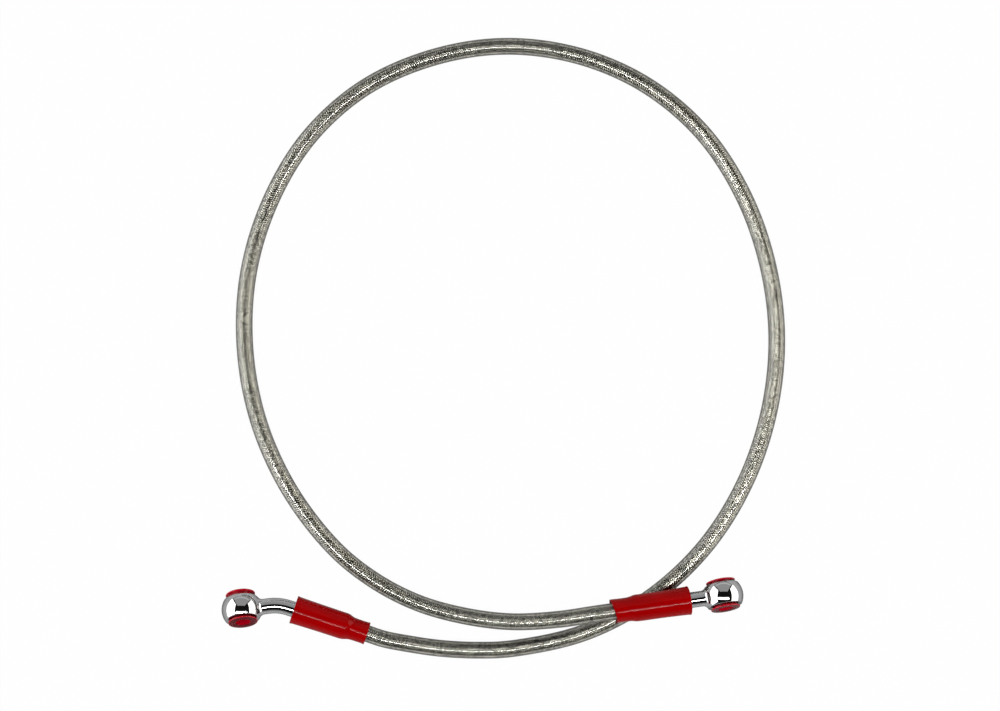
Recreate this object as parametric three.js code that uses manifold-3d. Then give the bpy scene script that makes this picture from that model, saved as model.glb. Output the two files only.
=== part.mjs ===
// Braided brake hose: one loop of jacketed stainless hose, a bent banjo fitting crimped to one end and a
// straight one to the other, each under a heat-shrink sleeve and stopped with two push-in plugs.
// Millimetres, +Z up. The hose lies on the floor z = 0, with the origin under the middle of the loop.
import * as THREE from 'three';
import { mergeVertices } from 'three/addons/utils/BufferGeometryUtils.js';
import Module from 'manifold-3d';

const wasm = await Module();
wasm.setup();

// Hose layers, from the inside out
const LINER_BORE = 3.2;
const LINER_WALL = 0.7;
const BRAID_WALL = 0.6;
const JACKET_WALL = 0.65;
const LAYER_GAP = 0.1;

// Banjo eye
const BALL_DIAMETER = 17.8;
const EYE_WIDTH = 9.6;
const EYE_BORE = 10.1;
const EYE_CHAMFER = 0.35;
const OIL_GROOVE_DIAMETER = 11.4;
const OIL_GROOVE_WIDTH = 3;

// Neck and the nipple that the hose is pushed on to
const NECK_DIAMETER = 6.9;
const NECK_BEND_RADIUS = 20;
const ROOT_FILLET = 2.5;
const NECK_BORE = 2.4;
const STAKE_GROOVE_DIAMETER = 5.6;
const LIP_DIAMETER = 6.6;
const LIP_WIDTH = 1.2;
const NIPPLE_BORE = 1.6;
const BARB_PITCH = 3;
const BARB_DEPTH = 0.2;
const NIPPLE_CLEARANCE = 0.1;
const NIPPLE_SETBACK = 3.5;

// Crimp ferrule
const FERRULE_LENGTH = 22.5;
const FERRULE_DIAMETER = 10;
const FERRULE_END_WALL = 1.6;
const FERRULE_INSET = 1.5;
const FERRULE_CHAMFER = 0.4;
const CRIMP_MARGIN = 4;
const CRIMP_DEPTH = 0.2;
const CRIMP_FLATS = 8;

// Heat-shrink sleeve
const SLEEVE_WALL = 0.5;
const SLEEVE_TAPER = 2.6;
const SLEEVE_GRIP = 7.4;
const SLEEVE_FLARE = 0.15;

// Push-in plugs
const FLANGE_DIAMETER = 13;
const FLANGE_THICKNESS = 0.6;
const FLANGE_ROUND = 0.2;
const PLUG_DEPTH = 4.2;
const PLUG_TAPER = 0.25;
const PLUG_FLOOR = 1;
const RECESS_DIAMETER = 6.6;

// Clearances between pieces
const FIT_CLEARANCE = 0.1;
const HOSE_CLEARANCE = 0.12;
const SLEEVE_CLEARANCE = 0.15;
const RUN_GAP = 0.7;

// How each end lies. heading is the way from its ball to its hose and pitch its climb; roll is how far the
// upper plug's side leans up from level; side says on which hand of the heading that plug faces; eyeTurn is
// how far the eye is clocked about its neck, away from the plane that the neck bends in.
const BENT_END = {
  ball: [-115.5, -115.7],
  heading: -18.6,
  pitch: -3.5,
  roll: 0,
  side: -1,
  eyeTurn: -32,
  bend: 26,
  neckReach: 16.4,
  sleeveStart: 7,
  upperPlugLift: 0.6,
  lowerPlugLift: 1.9,
  sleeveSpread: 1.05,
};
const STRAIGHT_END = {
  ball: [97.4, -109.5],
  heading: 187.4,
  roll: 22,
  side: 1,
  eyeTurn: 0,
  bend: 0,
  neckReach: 12,
  sleeveStart: 3.5,
  upperPlugLift: 0.6,
  lowerPlugLift: 1.05,
  sleeveSpread: 1.05,
};
// Where the straight end's sleeve passes over the other run, measured from its ball
const CROSSING_REACH = 40;
// Hose runs straight on for this far out of each sleeve
const HOSE_RUN_OUT = 8;

// Facets round each kind of piece
const HOSE_SIDES = 10;
const HOSE_STEPS = 48;
const EYE_SIDES = 32;
const NECK_SIDES = 16;
const TURNED_SIDES = 24;
const BORE_SIDES = 10;
const ARC_STEPS = 6;
const BEND_STEPS = 6;

const COLOURS = {
  liner: { color: 0xe9e7df, roughness: 0.5, metalness: 0 },
  braid: { color: 0x9b978c, roughness: 0.35, metalness: 0.9 },
  jacket: { color: 0xb9b7ae, roughness: 0.15, metalness: 0 },
  chrome: { color: 0xd6d9db, roughness: 0.06, metalness: 1 },
  ferrule: { color: 0xb4b6b8, roughness: 0.3, metalness: 1 },
  sleeve: { color: 0xbe0a12, roughness: 0.25, metalness: 0 },
  plug: { color: 0x7c0710, roughness: 0.35, metalness: 0 },
};

// Sizes that follow from the ones above
const linerRadius = LINER_BORE / 2 + LINER_WALL;
const braidBore = linerRadius + LAYER_GAP;
const braidRadius = braidBore + BRAID_WALL;
const jacketBore = braidRadius + LAYER_GAP;
const hoseRadius = jacketBore + JACKET_WALL;
const ballRadius = BALL_DIAMETER / 2;
const halfEye = EYE_WIDTH / 2;
const neckRadius = NECK_DIAMETER / 2;
const lipStart = FERRULE_INSET + FERRULE_END_WALL + FIT_CLEARANCE;
const lipEnd = lipStart + LIP_WIDTH;
const ferruleEnd = FERRULE_INSET + FERRULE_LENGTH;
const hoseStart = lipEnd + FIT_CLEARANCE;
const nippleEnd = ferruleEnd - NIPPLE_SETBACK;
const sleeveTaperStart = ferruleEnd + SLEEVE_CLEARANCE;
const sleeveTaperEnd = sleeveTaperStart + SLEEVE_TAPER;
const sleeveEnd = sleeveTaperEnd + SLEEVE_GRIP;
const sleeveBoreRadius = FERRULE_DIAMETER / 2 + SLEEVE_CLEARANCE;
const sleeveRadius = sleeveBoreRadius + SLEEVE_WALL;

const rad = THREE.MathUtils.degToRad;

// A circle drawn with straight facets cuts inside its radius: these give the radius that clears, or fits
const outsideFacets = (radius, sides) => radius / Math.cos(Math.PI / sides);
const insideFacets = (radius, sides) => radius * Math.cos(Math.PI / sides);

// Closed geometry to a solid, with shared corners merged and the slivers at a lathe's poles dropped
function toSolid(geometry) {
  geometry.deleteAttribute('normal');
  geometry.deleteAttribute('uv');
  const merged = mergeVertices(geometry, 1e-4);
  const index = merged.index.array;
  const triangles = [];
  for (let i = 0; i < index.length; i += 3) {
    const [a, b, c] = [index[i], index[i + 1], index[i + 2]];
    if (a !== b && b !== c && c !== a) triangles.push(a, b, c);
  }
  const vertProperties = new Float32Array(merged.attributes.position.array);
  const triVerts = new Uint32Array(triangles);
  return new wasm.Manifold(new wasm.Mesh({ numProp: 3, vertProperties, triVerts }));
}

function toGeometry(solid) {
  const { vertProperties, triVerts } = solid.getMesh();
  const geometry = new THREE.BufferGeometry();
  geometry.setAttribute('position', new THREE.BufferAttribute(new Float32Array(vertProperties), 3));
  geometry.setIndex(new THREE.BufferAttribute(new Uint32Array(triVerts), 1));
  geometry.computeVertexNormals();
  return geometry;
}

// Profile points are [along the axis, radius]; the axis is X for turned pieces and Z for the eye and plugs
function revolve(profile, sides, axis = 'x') {
  const points = profile.map(([along, radius]) => new THREE.Vector2(radius, along));
  const geometry = new THREE.LatheGeometry(points, sides);
  if (axis === 'x') geometry.rotateZ(-Math.PI / 2);
  else geometry.rotateX(Math.PI / 2);
  return toSolid(geometry);
}

// Points along an arc in the profile plane, angles measured from the axis
function profileArc(centre, radius, from, to, steps) {
  return Array.from({ length: steps + 1 }, (_, i) => {
    const angle = from + ((to - from) * i) / steps;
    return [centre[0] + radius * Math.cos(angle), centre[1] + radius * Math.sin(angle)];
  });
}

function circlePoints(radius, sides) {
  return Array.from({ length: sides }, (_, i) => {
    const angle = (2 * Math.PI * i) / sides;
    return new THREE.Vector2(radius * Math.cos(angle), radius * Math.sin(angle));
  });
}

function rod(path, radius, sides, steps) {
  const section = new THREE.Shape(circlePoints(radius, sides));
  return new THREE.ExtrudeGeometry(section, { steps, extrudePath: path, bevelEnabled: false });
}

// A bend in the XZ plane that starts along +X at (start, 0, 0) and turns towards +Z
class Bend extends THREE.Curve {
  constructor(start, radius, angle) {
    super();
    Object.assign(this, { start, radius, angle });
  }

  getPoint(t, target = new THREE.Vector3()) {
    const turned = this.angle * t;
    const across = this.radius * (1 - Math.cos(turned));
    return target.set(this.start + this.radius * Math.sin(turned), 0, across);
  }
}

// The neck's middle line from inside the eye wall to `stop` past the start of the sleeve
function neckPath(end, from, stop) {
  const bend = rad(end.bend);
  const corner = new THREE.Vector3(end.neckReach, 0, 0);
  const along = new THREE.Vector3(Math.cos(bend), 0, Math.sin(bend));
  const last = corner.clone().addScaledVector(along, end.sleeveStart + stop);
  const path = new THREE.CurvePath();
  const first = new THREE.Vector3(from, 0, 0);
  if (bend === 0) {
    path.add(new THREE.LineCurve3(first, last));
    return path;
  }
  const tangent = NECK_BEND_RADIUS * Math.tan(bend / 2);
  const bendStart = new THREE.Vector3(end.neckReach - tangent, 0, 0);
  const bendEnd = corner.clone().addScaledVector(along, tangent);
  path.add(new THREE.LineCurve3(first, bendStart));
  path.add(new Bend(bendStart.x, NECK_BEND_RADIUS, bend));
  path.add(new THREE.LineCurve3(bendEnd, last));
  return path;
}

// Ball with two flat sealing faces, its bolt bore and the oil groove inside, turned as one ring about Z
function eyeRing() {
  const bore = EYE_BORE / 2;
  const groove = OIL_GROOVE_DIAMETER / 2;
  const halfGroove = OIL_GROOVE_WIDTH / 2;
  const faceAngle = Math.acos((halfEye - EYE_CHAMFER / 2) / ballRadius);
  const outside = profileArc([0, 0], ballRadius, Math.PI - faceAngle, faceAngle, ARC_STEPS * 2);
  const faceRadius = ballRadius * Math.sin(faceAngle) - EYE_CHAMFER;
  return revolve(
    [
      [-halfEye, bore],
      [-halfEye, faceRadius],
      ...outside,
      [halfEye, faceRadius],
      [halfEye, bore],
      [halfGroove, bore],
      [halfGroove, groove],
      [-halfGroove, groove],
      [-halfGroove, bore],
      [-halfEye, bore],
    ],
    EYE_SIDES,
    'z',
  );
}

// Fillet between the ball and the neck, and the stub that roots it in the eye wall
function neckRoot(wallMiddle) {
  const centreRadius = neckRadius + ROOT_FILLET;
  const centreAlong = Math.sqrt((ballRadius + ROOT_FILLET) ** 2 - centreRadius ** 2);
  const onBall = Math.atan2(-centreRadius, -centreAlong);
  const fillet = profileArc([centreAlong, centreRadius], ROOT_FILLET, onBall, -Math.PI / 2, ARC_STEPS / 2);
  return revolve([[wallMiddle, 0], [wallMiddle, neckRadius], ...fillet, [fillet.at(-1)[0], 0]], TURNED_SIDES);
}

// Stake groove, lip and barbed nipple, turned about the sleeve's axis
function nipple() {
  const barb = insideFacets(LINER_BORE / 2, HOSE_SIDES) - NIPPLE_CLEARANCE;
  const root = barb - BARB_DEPTH;
  const groove = STAKE_GROOVE_DIAMETER / 2;
  const barbs = [];
  for (let at = lipEnd + BARB_PITCH; at < nippleEnd - BARB_PITCH / 2; at += BARB_PITCH) {
    barbs.push([at, barb], [at + BARB_DEPTH, root]);
  }
  return revolve(
    [
      [0, 0],
      [0, groove],
      [lipStart, groove],
      [lipStart, LIP_DIAMETER / 2],
      [lipEnd, LIP_DIAMETER / 2],
      [lipEnd, root],
      ...barbs,
      [nippleEnd - BARB_DEPTH, barb],
      [nippleEnd, root],
      [nippleEnd, 0],
    ],
    NECK_SIDES,
  );
}

// Moves a solid made about the sleeve's axis to its place on the fitting
function intoFitting(solid, end) {
  const bend = rad(end.bend);
  const x = end.neckReach + end.sleeveStart * Math.cos(bend);
  const z = end.sleeveStart * Math.sin(bend);
  return solid.rotate([0, -end.bend, 0]).translate([x, 0, z]);
}

function banjoFitting(end) {
  const wallMiddle = (OIL_GROOVE_DIAMETER / 2 + ballRadius) / 2 - 0.2;
  const neckSteps = end.bend === 0 ? 1 : BEND_STEPS * 2;
  const neckEnd = FERRULE_INSET - FIT_CLEARANCE;
  const neck = toSolid(rod(neckPath(end, wallMiddle, neckEnd), neckRadius, NECK_SIDES, neckSteps));
  const passage = toSolid(rod(neckPath(end, EYE_BORE / 4, lipEnd), NECK_BORE / 2, BORE_SIDES, neckSteps));
  const drilling = revolve(
    [
      [lipStart, 0],
      [lipStart, NIPPLE_BORE / 2],
      [nippleEnd + 1, NIPPLE_BORE / 2],
      [nippleEnd + 1, 0],
    ],
    BORE_SIDES,
  );
  return toGeometry(
    eyeRing()
      .rotate([end.eyeTurn, 0, 0])
      .add(neckRoot(wallMiddle))
      .add(neck)
      .add(intoFitting(nipple(), end))
      .subtract(passage)
      .subtract(intoFitting(drilling, end)),
  );
}

// Cup with a hole in its end wall that is staked into the neck's groove, crimped to flats over the hose
function ferrule() {
  const outer = FERRULE_DIAMETER / 2;
  const bore = outsideFacets(hoseRadius + HOSE_CLEARANCE, TURNED_SIDES);
  const hole = outsideFacets(STAKE_GROOVE_DIAMETER / 2 + FIT_CLEARANCE, TURNED_SIDES);
  const body = revolve(
    [
      [FERRULE_INSET, hole],
      [FERRULE_INSET, outer - FERRULE_CHAMFER],
      [FERRULE_INSET + FERRULE_CHAMFER, outer],
      [ferruleEnd - FERRULE_CHAMFER, outer],
      [ferruleEnd, outer - FERRULE_CHAMFER],
      [ferruleEnd, bore],
      [FERRULE_INSET + FERRULE_END_WALL, bore],
      [FERRULE_INSET + FERRULE_END_WALL, hole],
      [FERRULE_INSET, hole],
    ],
    TURNED_SIDES,
  );
  const die = new THREE.Shape(circlePoints(outer * 1.5, TURNED_SIDES));
  const jaws = outsideFacets(outer - CRIMP_DEPTH, CRIMP_FLATS);
  die.holes.push(new THREE.Path(circlePoints(jaws, CRIMP_FLATS)));
  const crimp = new THREE.ExtrudeGeometry(die, {
    depth: FERRULE_LENGTH - 2 * CRIMP_MARGIN,
    bevelEnabled: false,
  });
  crimp.rotateY(Math.PI / 2).translate(FERRULE_INSET + CRIMP_MARGIN, 0, 0);
  return toGeometry(body.subtract(toSolid(crimp)));
}

// Tube shrunk over the ferrule and necked down on the hose, wider across than it is high
function sleeve() {
  const grip = outsideFacets(hoseRadius + SLEEVE_CLEARANCE, TURNED_SIDES) + 0.1;
  const wide = outsideFacets(sleeveBoreRadius, TURNED_SIDES);
  const taperMiddle = (sleeveTaperStart + sleeveTaperEnd) / 2;
  const inside = [
    [0, wide + SLEEVE_FLARE],
    [FERRULE_INSET, wide],
    [sleeveTaperStart, wide],
    [taperMiddle, (wide + grip) / 2 + 0.15],
    [sleeveTaperEnd, grip],
    [sleeveEnd - 1, grip],
    [sleeveEnd, grip + SLEEVE_FLARE],
  ];
  const outside = inside.map(([along, radius]) => [along, radius + SLEEVE_WALL]);
  return toGeometry(revolve([...outside, ...inside.reverse(), outside[0]], TURNED_SIDES));
}

// Hollow cup with a flange, open outwards; its flange seats on an eye face, with z = 0 at the eye's middle
function plug(lift) {
  const mouth = insideFacets(EYE_BORE / 2, EYE_SIDES) - 1.5 * FIT_CLEARANCE;
  const seat = halfEye + FIT_CLEARANCE + lift;
  const top = seat + FLANGE_THICKNESS;
  const rim = FLANGE_DIAMETER / 2;
  const tip = seat - PLUG_DEPTH;
  const recess = RECESS_DIAMETER / 2;
  return toGeometry(
    revolve(
      [
        [tip, 0],
        [tip, mouth - PLUG_TAPER],
        [seat, mouth],
        [seat, rim],
        [top - FLANGE_ROUND, rim],
        [top, rim - FLANGE_ROUND],
        [top, recess],
        [tip + PLUG_FLOOR, recess - PLUG_TAPER],
        [tip + PLUG_FLOOR, 0],
      ],
      TURNED_SIDES,
      'z',
    ),
  );
}

function addMesh(parent, name, geometry, finish) {
  const mesh = new THREE.Mesh(geometry, new THREE.MeshStandardMaterial(COLOURS[finish]));
  mesh.name = name;
  parent.add(mesh);
  return mesh;
}

// Height of the ball's middle that lets the ball, or the lower plug's flange if it hangs lower, touch z = 0
function restingHeight(lean, lift) {
  const reach = halfEye + FIT_CLEARANCE + lift + FLANGE_THICKNESS;
  return Math.max(ballRadius, reach * lean + (FLANGE_DIAMETER / 2) * Math.sqrt(1 - lean ** 2));
}

// One dressed end: fitting and plugs in the ball's frame, ferrule and sleeve in the sleeve's frame
function hoseEnd(prefix, end) {
  const [pitch, heading, roll, bend] = [end.pitch, end.heading, end.roll, end.bend].map(rad);
  const toHose = new THREE.Vector3(
    Math.cos(pitch) * Math.cos(heading),
    Math.cos(pitch) * Math.sin(heading),
    Math.sin(pitch),
  );
  const level = new THREE.Vector3(-Math.sin(heading), Math.cos(heading), 0).multiplyScalar(end.side);
  const upright = new THREE.Vector3().crossVectors(toHose, level).multiplyScalar(end.side);
  const facing = level.multiplyScalar(Math.cos(roll)).addScaledVector(upright, Math.sin(roll));
  const neckAxis = toHose.clone().multiplyScalar(Math.cos(bend)).addScaledVector(facing, -Math.sin(bend));
  const boreAxis = toHose.clone().multiplyScalar(Math.sin(bend)).addScaledVector(facing, Math.cos(bend));

  const group = new THREE.Group();
  const across = new THREE.Vector3().crossVectors(boreAxis, neckAxis);
  const turnedBore = boreAxis.clone().applyAxisAngle(neckAxis, rad(end.eyeTurn));
  group.quaternion.setFromRotationMatrix(new THREE.Matrix4().makeBasis(neckAxis, across, boreAxis));
  group.position.set(end.ball[0], end.ball[1], restingHeight(turnedBore.z, end.lowerPlugLift));
  addMesh(group, `${prefix}_banjo_fitting`, banjoFitting(end), 'chrome');

  const plugFrame = new THREE.Group();
  plugFrame.rotation.x = rad(end.eyeTurn);
  addMesh(plugFrame, `${prefix}_end_upper_plug`, plug(end.upperPlugLift), 'plug');
  addMesh(plugFrame, `${prefix}_end_lower_plug`, plug(end.lowerPlugLift), 'plug').rotation.x = Math.PI;
  group.add(plugFrame);

  const sleeveFrame = new THREE.Group();
  sleeveFrame.rotation.y = -bend;
  sleeveFrame.position.set(
    end.neckReach + end.sleeveStart * Math.cos(bend),
    0,
    end.sleeveStart * Math.sin(bend),
  );
  addMesh(sleeveFrame, `${prefix}_end_ferrule`, ferrule(), 'ferrule');
  const shrink = addMesh(sleeveFrame, `${prefix}_end_sleeve`, sleeve(), 'sleeve');
  shrink.rotation.x = -end.side * roll;
  shrink.scale.z = end.sleeveSpread;
  group.add(sleeveFrame);
  group.updateMatrixWorld(true);
  return { group, along: (distance) => sleeveFrame.localToWorld(new THREE.Vector3(distance, 0, 0)) };
}

// The straight end climbs from its ball so that its sleeve clears the run of hose that passes under it
const crossingHeight = 2 * hoseRadius + RUN_GAP + outsideFacets(sleeveRadius, TURNED_SIDES);
const straightBallHeight = restingHeight(Math.sin(rad(STRAIGHT_END.roll)), STRAIGHT_END.lowerPlugLift);
const climb = Math.atan2(crossingHeight - straightBallHeight, CROSSING_REACH);
const bentEnd = hoseEnd('bent', BENT_END);
const straightEnd = hoseEnd('straight', { ...STRAIGHT_END, pitch: THREE.MathUtils.radToDeg(climb) });

// Free route of the hose's middle line, chosen by hand, as [x, y, height above where the hose lies on the
// floor]: off the bent end, along the floor under the straight end, once round the loop, then up a long low
// hump into the straight end's sleeve
const ROUTE = [
  [-43.3, -131.1, 1.2],
  [-28.1, -133.4, 0.45],
  [-11.6, -134.3, 0.1],
  [4.9, -133.5, 0],
  [37.0, -126.2, 0],
  [66.1, -110.5, 0],
  [90.2, -87.8, 0],
  [107.6, -59.8, 0],
  [118.2, -28.5, 0],
  [121.7, 4.2, 0],
  [117.7, 36.9, 0],
  [106.7, 68.1, 0],
  [88.6, 95.8, 0],
  [63.2, 117.1, 0],
  [33.0, 130.0, 0],
  [0.1, 134.1, 0],
  [-32.3, 128.8, 0],
  [-62.3, 115.2, 0],
  [-86.8, 93.0, 0],
  [-103.7, 64.5, 0],
  [-113.2, 33.0, 0],
  [-114.7, 0.1, 0],
  [-108.7, -32.4, 0],
  [-95.2, -62.6, 0],
  [-75.3, -88.7, 0],
  [-57.4, -103.2, 0],
  [-38.0, -113.2, 0.35],
  [-17.5, -118.8, 1.9],
  [3.4, -121.0, 5.7],
  [24.2, -119.5, 10.2],
];

function hosePath() {
  const free = [bentEnd.along(sleeveEnd), bentEnd.along(sleeveEnd + HOSE_RUN_OUT)];
  for (const [x, y, rise] of ROUTE) free.push(new THREE.Vector3(x, y, hoseRadius + rise));
  free.push(straightEnd.along(sleeveEnd + HOSE_RUN_OUT), straightEnd.along(sleeveEnd));
  const path = new THREE.CurvePath();
  path.add(new THREE.LineCurve3(bentEnd.along(hoseStart), free[0]));
  path.add(new THREE.CatmullRomCurve3(free));
  path.add(new THREE.LineCurve3(free.at(-1), straightEnd.along(hoseStart)));
  return path;
}

// One layer of the hose: a plain tube, all layers on the same line and with the same facets
function hoseLayer(path, bore, radius) {
  const section = new THREE.Shape(circlePoints(radius, HOSE_SIDES));
  section.holes.push(new THREE.Path(circlePoints(bore, HOSE_SIDES)));
  const tube = new THREE.ExtrudeGeometry(section, {
    steps: HOSE_STEPS,
    extrudePath: path,
    bevelEnabled: false,
  });
  return toGeometry(toSolid(tube));
}

const brakeHose = new THREE.Group();
const path = hosePath();
addMesh(brakeHose, 'liner', hoseLayer(path, LINER_BORE / 2, linerRadius), 'liner');
addMesh(brakeHose, 'braid', hoseLayer(path, braidBore, braidRadius), 'braid');
addMesh(brakeHose, 'jacket', hoseLayer(path, jacketBore, hoseRadius), 'jacket');
brakeHose.add(bentEnd.group, straightEnd.group);

export default brakeHose;
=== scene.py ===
"""Braided brake hose with a bent and a straight banjo end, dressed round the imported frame.

Sizes are in millimetres and are turned into metres where a mesh is made. Each sub-assembly is a class:
HoseRun is the hose itself, BanjoEnd one dressed end and Studio what stands round them.
"""

import logging
import math
from collections.abc import Callable
from dataclasses import dataclass, field, replace
from enum import Enum

import bmesh
import bpy
import numpy as np
from mathutils import Matrix, Vector


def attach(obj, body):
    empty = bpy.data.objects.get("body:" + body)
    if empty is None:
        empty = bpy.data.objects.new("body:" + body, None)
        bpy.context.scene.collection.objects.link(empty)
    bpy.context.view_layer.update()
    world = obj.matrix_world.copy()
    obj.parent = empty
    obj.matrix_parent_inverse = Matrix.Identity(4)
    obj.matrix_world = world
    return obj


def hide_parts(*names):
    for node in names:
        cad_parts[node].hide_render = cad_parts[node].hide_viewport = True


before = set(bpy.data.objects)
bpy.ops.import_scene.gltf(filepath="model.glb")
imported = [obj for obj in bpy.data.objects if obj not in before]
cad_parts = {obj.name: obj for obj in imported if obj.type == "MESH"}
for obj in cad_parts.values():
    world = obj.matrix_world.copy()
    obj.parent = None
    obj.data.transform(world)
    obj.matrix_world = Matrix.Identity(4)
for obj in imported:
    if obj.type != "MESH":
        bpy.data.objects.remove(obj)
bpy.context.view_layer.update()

LOG = logging.getLogger("brake_hose")
MM = 0.001
WELD = 2e-6

# How close, in millimetres, a vertex lies to a plane or a radius that it counts as being on
ON_PLANE = 0.01
ON_RADIUS = 0.25

ALONG_NECK = Vector((1, 0, 0))
ALONG_BORE = Vector((0, 0, 1))
WEAVE_MAP = "weave"

# Rows of a turned profile, as place along the axis and radius
Rows = list[tuple[float, float]]
Pair = tuple[float, float]
Triple = tuple[float, float, float]
Socket = bpy.types.NodeSocket


class Slot(Enum):
    """Material slots of the record."""

    LINER = "liner"
    BRAID = "braid"
    JACKET = "jacket"
    FITTING = "fitting"
    FERRULE = "ferrule"
    SHRINK = "heat_shrink"
    PLUG = "plug"


class Lay(Enum):
    """Which way a family of braid strands winds round the hose."""

    RIGHT = 1
    LEFT = -1


class Cut(Enum):
    """How one closed shell is worked with another."""

    JOIN = "UNION"
    REMOVE = "DIFFERENCE"


# Modelling calls that every piece uses


def deselect_everything() -> None:
    """Leaves edit mode and selects nothing."""
    if bpy.context.object is not None and bpy.context.object.mode != "OBJECT":
        bpy.ops.object.mode_set(mode="OBJECT")
    bpy.ops.object.select_all(action="DESELECT")


def pick(obj: bpy.types.Object) -> None:
    """Makes obj the only selected and the active object."""
    deselect_everything()
    obj.select_set(True)
    bpy.context.view_layer.objects.active = obj


def select_vertices(obj: bpy.types.Object, wanted: Callable[[Vector], bool]) -> None:
    """Selects the vertices of the mesh in edit mode that pass a test, and the edges and faces between them.

    Args:
        obj: The object in edit mode.
        wanted: A test of a vertex's position, in millimetres.
    """
    bpy.ops.mesh.select_all(action="DESELECT")
    shell = bmesh.from_edit_mesh(obj.data)
    for vertex in shell.verts:
        if wanted(vertex.co / MM):
            vertex.select = True
    shell.select_flush(True)
    bmesh.update_edit_mesh(obj.data)


def close_shell(obj: bpy.types.Object, fill: bool) -> None:
    """Welds coinciding rings, closes open ends and points the faces outwards.

    Args:
        obj: The object in edit mode.
        fill: Whether open rings get a flat cap.
    """
    bpy.ops.mesh.select_all(action="SELECT")
    bpy.ops.mesh.remove_doubles(threshold=WELD)
    if fill:
        bpy.ops.mesh.select_all(action="SELECT")
        bpy.ops.mesh.fill_holes(sides=0)
    bpy.ops.mesh.select_all(action="SELECT")
    bpy.ops.mesh.normals_make_consistent(inside=False)
    bpy.ops.object.mode_set(mode="OBJECT")


def work(target: bpy.types.Object, tool: bpy.types.Object, cut: Cut) -> None:
    """Joins a tool shell to the target or removes it from it, and deletes the tool.

    Args:
        target: The piece that is kept.
        tool: The closed shell that is used up.
        cut: What is done with it.
    """
    modifier = target.modifiers.new(name="work", type="BOOLEAN")
    modifier.operation = cut.value
    modifier.solver = "EXACT"
    modifier.object = tool
    pick(target)
    bpy.ops.object.modifier_apply(modifier=modifier.name)
    bpy.data.objects.remove(tool, do_unlink=True)


def place(obj: bpy.types.Object, where: Matrix) -> None:
    """Moves obj by a matrix and puts the move into its mesh."""
    obj.matrix_world = where
    pick(obj)
    bpy.ops.object.transform_apply(location=True, rotation=True, scale=True)


def smooth(obj: bpy.types.Object, degrees: float) -> None:
    """Shades obj smooth, apart from edges sharper than an angle."""
    pick(obj)
    bpy.ops.object.shade_smooth_by_angle(angle=math.radians(degrees))


def dress(obj: bpy.types.Object, slot: Slot, material: bpy.types.Material, *nodes: str) -> None:
    """Gives a finished piece its body and, where it has none yet, its material.

    Args:
        obj: The piece.
        slot: Material slot of the record; not used.
        material: Finish of a piece that has none yet.
        nodes: CAD nodes that the piece stands for.
    """
    if not obj.data.materials:
        obj.data.materials.append(material)
    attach(obj, "root")
    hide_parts(*nodes)
    LOG.info("%s: %d faces, stands for %s", obj.name, len(obj.data.polygons), ", ".join(nodes))


class Pen:
    """Draws a turned or bent shell by extruding one ring of edges, step by step."""

    def __init__(self, name: str, start: Vector, direction: Vector, radius: float, sides: int) -> None:
        """Adds the first ring.

        Args:
            name: Name of the object.
            start: Middle of the ring.
            direction: Way that the shell grows.
            radius: Radius of the ring.
            sides: Number of its edges.
        """
        self.direction = direction.normalized()
        self.centre = start.copy()
        self.radius = radius
        deselect_everything()
        bpy.ops.mesh.primitive_circle_add(
            vertices=sides,
            radius=radius * MM,
            fill_type="NOTHING",
            location=start * MM,
            rotation=self.direction.to_track_quat("Z", "Y").to_euler(),
        )
        self.obj = bpy.context.object
        self.obj.name = name
        bpy.ops.object.transform_apply(location=True, rotation=True, scale=True)
        bpy.ops.object.mode_set(mode="EDIT")
        bpy.ops.mesh.select_all(action="SELECT")

    def advance(self, distance: float, radius: float) -> None:
        """Extrudes the ring along the pen's direction and gives it a new radius.

        Args:
            distance: Length of the step.
            radius: Radius of the ring at its end.
        """
        step = self.direction * distance
        bpy.ops.mesh.extrude_region_move(
            TRANSFORM_OT_translate={"value": step * MM, "orient_type": "GLOBAL"}
        )
        self.centre += step
        ratio = radius / self.radius
        bpy.ops.transform.resize(value=(ratio, ratio, ratio), center_override=self.centre * MM)
        self.radius = radius

    def follow(self, rows: Rows) -> None:
        """Advances through a profile.

        Args:
            rows: Its rows, the first of them for the ring that is there already.
        """
        for (at, _), (along, radius) in zip(rows, rows[1:]):
            self.advance(along - at, radius)

    def bend(self, degrees: float, radius: float, steps: int) -> None:
        """Sweeps the ring round a bend in the XZ plane, from +X towards +Z.

        Args:
            degrees: Angle of the bend.
            radius: Radius of its middle line.
            steps: Number of short chords in it.
        """
        inwards = Vector((-self.direction.z, 0, self.direction.x))
        pivot = self.centre + inwards * radius
        turn = math.radians(degrees)
        bpy.ops.mesh.spin(steps=steps, angle=turn, center=pivot * MM, axis=(0, 1, 0))
        rotation = Matrix.Rotation(-turn, 3, "Y")
        self.centre = pivot + rotation @ (self.centre - pivot)
        self.direction = rotation @ self.direction

    def finish(self, fill: bool) -> bpy.types.Object:
        """Closes the shell and leaves edit mode."""
        close_shell(self.obj, fill)
        return self.obj


def turned(name: str, rows: Rows, sides: int, axis: Vector, fill: bool) -> bpy.types.Object:
    """A turned shell.

    Args:
        name: Name of the object.
        rows: The profile, first row first.
        sides: Number of facets round it.
        axis: Axis that it is turned about.
        fill: Whether its ends get caps; without them the last row has to meet the first.

    Returns:
        The object, in object mode.
    """
    pen = Pen(name, axis * rows[0][0], axis, rows[0][1], sides)
    pen.follow(rows)
    return pen.finish(fill)


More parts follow.
